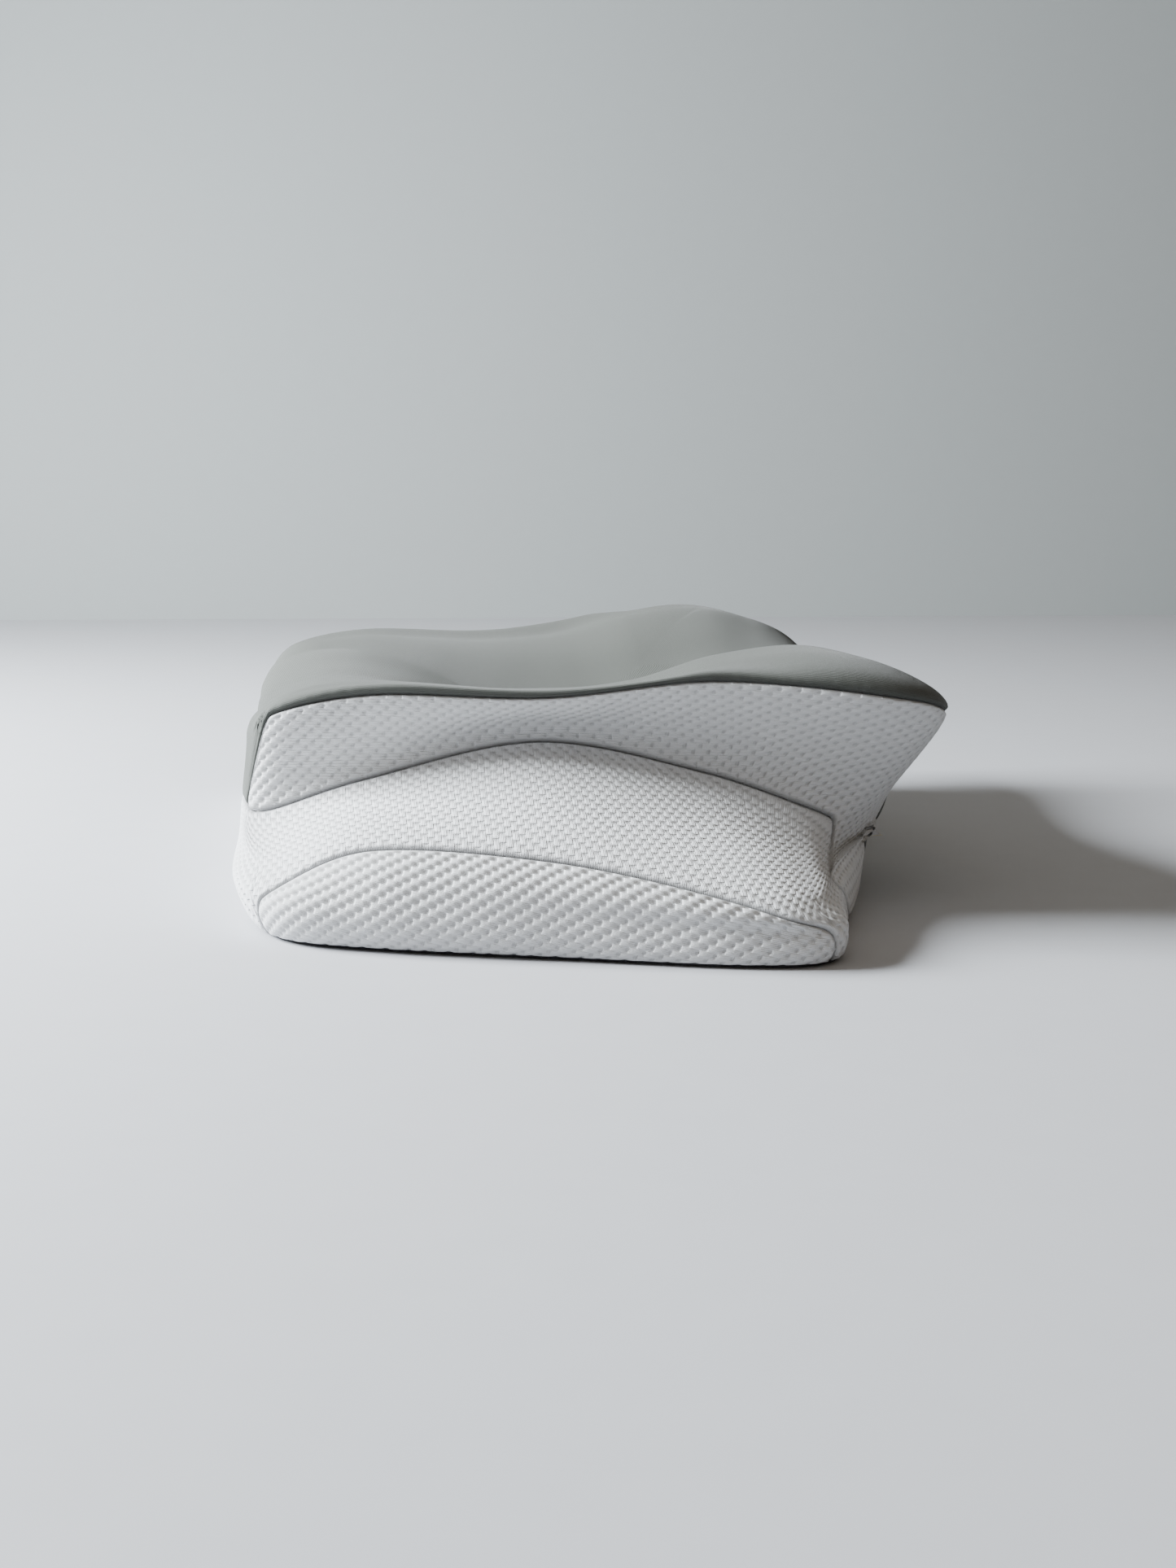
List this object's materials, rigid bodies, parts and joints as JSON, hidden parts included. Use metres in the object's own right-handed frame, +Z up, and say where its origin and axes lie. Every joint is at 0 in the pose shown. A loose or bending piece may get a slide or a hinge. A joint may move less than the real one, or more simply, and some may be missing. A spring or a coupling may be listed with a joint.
{
  "type": "bed pillow",
  "caption": "Contour foam bed pillow with a low neck roll, two raised wings round a head cradle, ledges at both ends and a zipped knit cover.",
  "frame": {"origin": "middle of the pillow's footprint box, on the plane it rests on", "axes": "+Z up, +Y along the length, +X from the low neck side to the high back side"},
  "size_m": [0.3727, 0.6274, 0.1342],
  "materials": {
    "foam": "fine open-cell foam",
    "liner_mesh": "thin stretch mesh",
    "smooth_knit": "smooth cool-touch jersey, warm grey, soft sheen",
    "dimpled_knit": "white quilted jacquard with diagonal rows of dimples",
    "ribbed_knit": "white quilted jacquard turned a quarter, diagonal ribs",
    "base_knit": "dark open mesh knit",
    "zip_tape": "woven herringbone tape",
    "zip_coil": "moulded nylon coil",
    "zip_metal": "satin nickel",
    "label_satin": "white woven satin, blank"
  },
  "bodies": {
    "pillow": {"foam_core": "foam", "liner": "liner_mesh", "top_panel": "smooth_knit", "upper_panel_near": "dimpled_knit", "upper_panel_far": "dimpled_knit", "lower_panel_near": "dimpled_knit", "lower_panel_far": "dimpled_knit", "side_band": "ribbed_knit", "base_front": "base_knit", "base_back": "base_knit", "zip_tape_front": "zip_tape", "zip_tape_back": "zip_tape", "zip_coil_front": "zip_coil", "zip_coil_back": "zip_coil", "zip_stop_closed": "zip_metal", "zip_stop_open": "zip_metal", "care_label": "label_satin"},
    "slider": {"zip_slider": "zip_metal"},
    "puller": {"zip_puller": "zip_metal"}
  },
  "joints": [
    {"name": "zip_slide", "type": "slide", "parent": "pillow", "child": "slider", "axis": [0, 1, 0], "range_m": [0, 0.376]},
    {"name": "puller_flip", "type": "hinge", "parent": "slider", "child": "puller", "pos_m": [0, -0.1865, 0.0015], "axis": [-1, 0, 0], "range_deg": [0, 178]}
  ]
}
